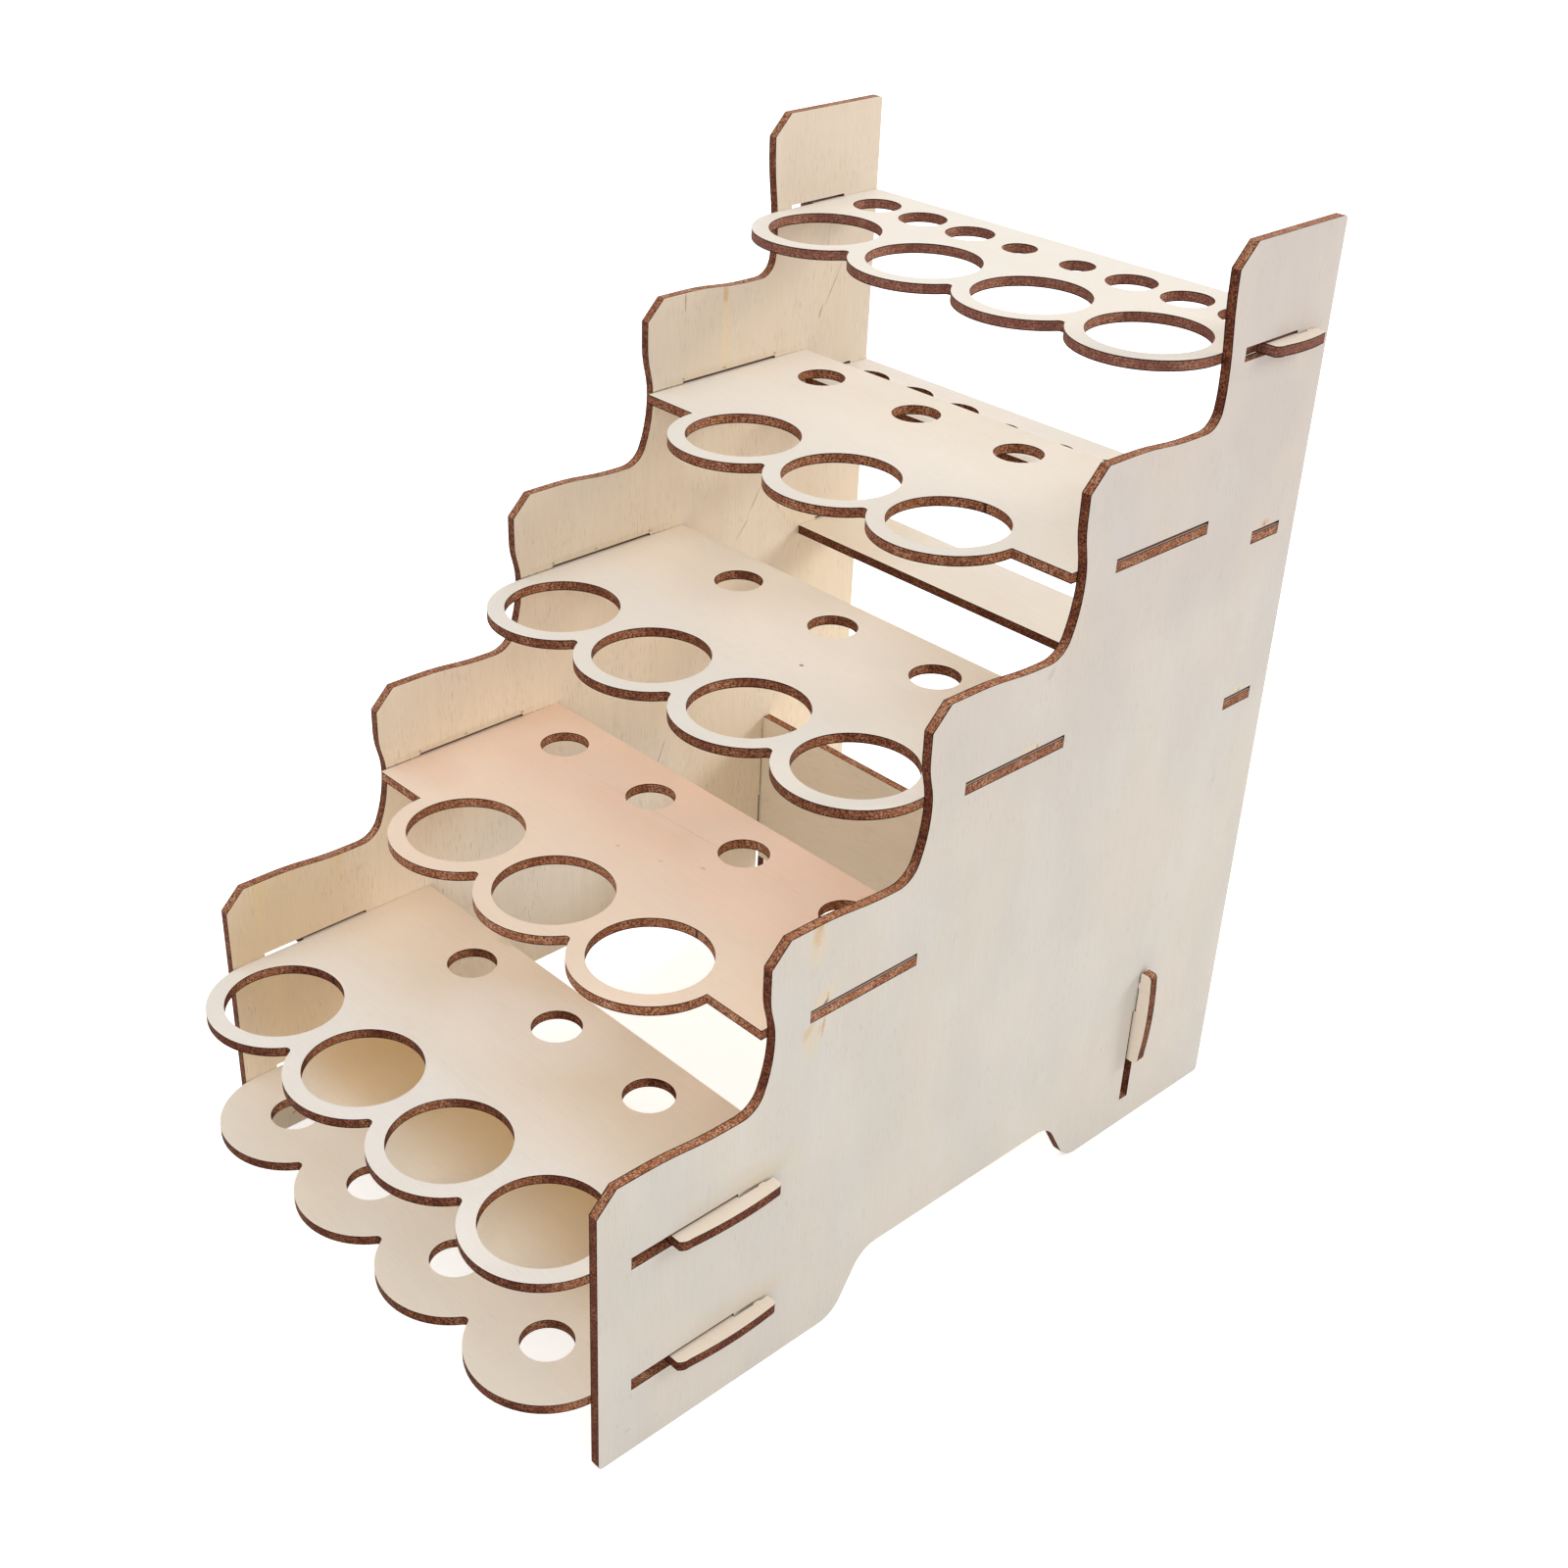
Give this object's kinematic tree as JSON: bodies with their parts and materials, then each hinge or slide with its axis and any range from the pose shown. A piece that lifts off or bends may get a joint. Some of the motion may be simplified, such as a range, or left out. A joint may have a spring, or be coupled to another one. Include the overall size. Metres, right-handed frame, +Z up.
{
  "type": "stepped bottle and brush rack",
  "caption": "Stepped desk rack of slotted plywood: tiers of scalloped bottle shelves between two side panels, with brush holes at the top rear.",
  "frame": {"origin": "middle of the footprint's bounding box, on the plane of the feet", "axes": "+Z up; +Y from the low front tier to the high rear edge; +X to the right of someone facing the front"},
  "size_m": [0.1804, 0.2724, 0.2814],
  "materials": {
    "panel_plywood": "bare sanded birch plywood with scorched cut edges",
    "shelf_plywood": "bare sanded birch plywood with scorched cut edges"
  },
  "bodies": {
    "root": {"left_side_panel": "panel_plywood", "right_side_panel": "panel_plywood", "base_shelf": "shelf_plywood", "bottle_tier_1": "shelf_plywood", "bottle_tier_2": "shelf_plywood", "bottle_tier_3": "shelf_plywood", "bottle_tier_4": "shelf_plywood", "bottle_tier_5": "shelf_plywood", "brush_guide_strip": "shelf_plywood", "brush_rest_strip": "shelf_plywood", "rear_cross_panel": "shelf_plywood"}
  },
  "joints": []
}
